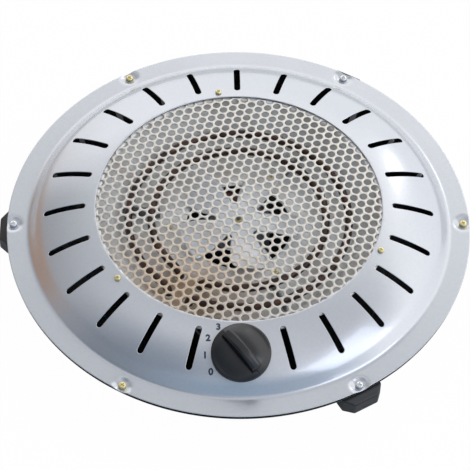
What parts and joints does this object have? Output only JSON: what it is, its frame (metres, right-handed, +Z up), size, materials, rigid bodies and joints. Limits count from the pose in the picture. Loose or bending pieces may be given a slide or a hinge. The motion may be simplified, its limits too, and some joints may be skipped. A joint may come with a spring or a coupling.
{
  "type": "electric brazier",
  "caption": "Round under-table electric brazier: silver slotted cover with perforated dome grille over ring elements and a fan, rotary switch, black pan and feet.",
  "frame": {"origin": "centre of the pan's flat underside, on the surface that the brazier stands on", "axes": "+Z up through the grille's crown along the fan's shaft; the knob is towards -Y and the cord gland towards +Y"},
  "size_m": [0.3804, 0.3742, 0.0864],
  "materials": {
    "silver_enamel": "glossy metallic silver stove enamel",
    "bright_zinc": "bright zinc plate",
    "polished_aluminium": "polished sheet",
    "black_enamel": "satin black stove enamel",
    "black_plastic": "satin moulded",
    "black_rubber": "matte moulded",
    "yellow_zinc": "yellow zinc plate",
    "plain_steel": "plain steel",
    "element_sheath": "heat-darkened steel sheath",
    "white_ceramic": "unglazed ceramic",
    "copper_winding": "enamelled copper winding",
    "brass": "turned brass",
    "nylon": "natural nylon",
    "brown_wire": "soft insulation",
    "blue_wire": "soft insulation",
    "silicone_wire": "glass-braided silicone insulation"
  },
  "bodies": {
    "casing": {"top_cover": "silver_enamel", "grille": "bright_zinc", "grille_screw_1": "yellow_zinc", "grille_screw_2": "yellow_zinc", "grille_screw_3": "yellow_zinc", "flange_screw_1": "yellow_zinc", "flange_screw_2": "bright_zinc", "flange_screw_3": "yellow_zinc", "flange_screw_4": "bright_zinc", "flange_screw_5": "yellow_zinc", "flange_screw_6": "bright_zinc", "foot_1": "black_plastic", "foot_2": "black_plastic", "foot_3": "black_plastic", "bottom_pan": "black_enamel", "cord_gland": "black_rubber", "reflector": "polished_aluminium", "inner_element": "element_sheath", "outer_element": "element_sheath", "ceramic_bush_1": "white_ceramic", "ceramic_bush_2": "white_ceramic", "ceramic_bush_3": "white_ceramic", "ceramic_bush_4": "white_ceramic", "element_clip_1": "plain_steel", "element_clip_2": "plain_steel", "element_clip_3": "plain_steel", "element_link": "brass", "motor_bridge": "plain_steel", "bridge_screw_1": "yellow_zinc", "bridge_screw_2": "yellow_zinc", "bridge_screw_3": "yellow_zinc", "motor_spacer_1": "brass", "motor_spacer_2": "brass", "motor_screw_1": "plain_steel", "motor_screw_2": "plain_steel", "upper_bracket": "bright_zinc", "lower_bracket": "bright_zinc", "upper_bearing": "brass", "lower_bearing": "brass", "stator_laminations": "plain_steel", "coil_bobbin": "nylon", "motor_coil": "copper_winding", "thermal_cutout": "white_ceramic", "switch_body": "white_ceramic", "switch_nut": "bright_zinc", "terminal_block": "white_ceramic", "wire_live": "brown_wire", "wire_neutral": "blue_wire", "wire_inner_element": "silicone_wire", "wire_outer_element": "silicone_wire", "wire_motor": "silicone_wire"},
    "fan_rotor": {"fan": "polished_aluminium", "fan_hub": "brass", "fan_nut": "yellow_zinc", "motor_shaft": "plain_steel", "motor_rotor": "plain_steel"},
    "dial": {"knob": "black_plastic", "switch_spindle": "plain_steel"}
  },
  "joints": [
    {"name": "fan_spin", "type": "hinge", "parent": "casing", "child": "fan_rotor", "pos_m": [0, 0, 0.048], "axis": [0, 0, 1], "continuous": true},
    {"name": "knob_turn", "type": "hinge", "parent": "casing", "child": "dial", "pos_m": [0, -0.141, 0.06695], "axis": [0, -0.3123, 0.95], "range_deg": [0, 90]}
  ]
}
